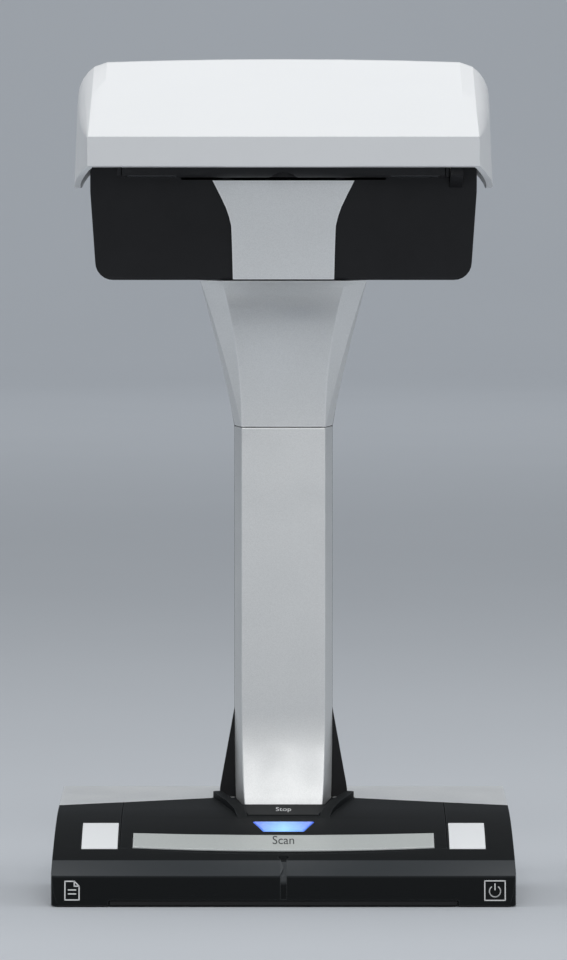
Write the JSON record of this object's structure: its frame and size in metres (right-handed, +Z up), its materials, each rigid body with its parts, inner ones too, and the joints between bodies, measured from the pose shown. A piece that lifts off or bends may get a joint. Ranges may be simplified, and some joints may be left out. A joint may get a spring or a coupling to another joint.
{
  "type": "overhead document scanner",
  "caption": "Overhead page scanner: weighted base with scan and stop buttons, a column, and a head whose drum sweeps lens and lamps.",
  "frame": {"origin": "on the table under the middle of the base", "axes": "+X to the viewer's right when facing the front, +Y away from the user to the rear, +Z up"},
  "size_m": [0.21, 0.156, 0.3829],
  "materials": {
    "base_black": "satin",
    "shell_black": "fine texture",
    "shell_white": "satin",
    "shell_silver": "metallic paint, satin",
    "button_silver": "metallic paint, satin",
    "steel": "rolled",
    "zinc": "zinc plated",
    "rubber": "matte",
    "circuit_board": "solder resist",
    "white_tile": "matte",
    "light_lens": "translucent, lit",
    "lamp_lens": "clear, glossy",
    "lens_glass": "coated",
    "gear_plastic": "moulded",
    "brass": "turned",
    "flex_cable": "flat flex"
  },
  "bodies": {
    "root": {"base_tray": "shell_black", "ballast_plate": "steel", "base_front_cover": "base_black", "base_rear_cover": "shell_silver", "control_panel": "base_black", "rubber_foot_front_left": "rubber", "rubber_foot_rear_left": "rubber", "rubber_foot_front_right": "rubber", "rubber_foot_rear_right": "rubber", "tray_screw_front_left": "zinc", "tray_screw_rear_left": "zinc", "tray_screw_front_right": "zinc", "tray_screw_rear_right": "zinc", "reference_patch_left": "white_tile", "reference_patch_right": "white_tile", "status_light": "light_lens", "control_board": "circuit_board", "scan_switch_left": "shell_black", "scan_switch_right": "shell_black", "stop_switch": "shell_black", "main_board": "circuit_board", "usb_socket": "steel", "dc_jack": "shell_black", "spine": "steel", "column_front_cover": "shell_silver", "neck_front_cover": "shell_silver", "column_rear_cover": "shell_black", "ribbon_cable": "flex_cable", "head_lower_cover": "shell_black", "hood": "shell_white", "chin_trim": "shell_silver", "head_frame": "steel", "head_screw_front_left": "zinc", "head_screw_rear_left": "zinc", "head_screw_front_right": "zinc", "head_screw_rear_right": "zinc", "drum_bracket_left": "zinc", "drum_bracket_right": "zinc", "drum_bush_left": "brass", "drum_bush_right": "brass", "motor_bracket": "zinc", "stepper_motor": "steel", "gear_axle": "steel", "drive_belt": "rubber"},
    "scan_drum": {"scan_drum": "shell_black", "drum_pulley": "gear_plastic", "drum_cap_left": "shell_black", "drum_cap_right": "shell_black", "lens_barrel": "shell_black", "lens_glass": "lens_glass", "sensor_board": "circuit_board", "lamp_lens_left": "lamp_lens", "lamp_lens_right": "lamp_lens", "lamp_board_left": "circuit_board", "lamp_board_right": "circuit_board"},
    "reduction_gear": {"reduction_gear": "gear_plastic"},
    "motor_pinion": {"motor_pinion": "brass"},
    "scan_button": {"scan_button": "button_silver"},
    "stop_button": {"stop_button": "base_black"}
  },
  "joints": [
    {"name": "drum_sweep", "type": "hinge", "parent": "root", "child": "scan_drum", "pos_m": [0, -0.048, 0.338], "axis": [-1, 0, 0], "range_deg": [-8, 46]},
    {"name": "reduction_spin", "type": "hinge", "parent": "root", "child": "reduction_gear", "pos_m": [0, -0.008, 0.322], "axis": [-1, 0, 0], "range_deg": [-17, 93]},
    {"name": "pinion_spin", "type": "hinge", "parent": "root", "child": "motor_pinion", "pos_m": [0, -0.0002, 0.30849], "axis": [-1, 0, 0], "range_deg": [-310, 56]},
    {"name": "scan_button_press", "type": "slide", "parent": "root", "child": "scan_button", "axis": [0, 0.3443, -0.9389], "range_m": [0, 0.001], "stiffness_N_per_m": 400, "springref_m": -0.002},
    {"name": "stop_button_press", "type": "slide", "parent": "root", "child": "stop_button", "axis": [0, 0.0773, -0.997], "range_m": [0, 0.001], "stiffness_N_per_m": 400, "springref_m": -0.002}
  ],
  "couplings": [
    {"joint": "reduction_spin", "follows": "drum_sweep", "ratio": 2},
    {"joint": "pinion_spin", "follows": "drum_sweep", "ratio": -6.6667}
  ]
}
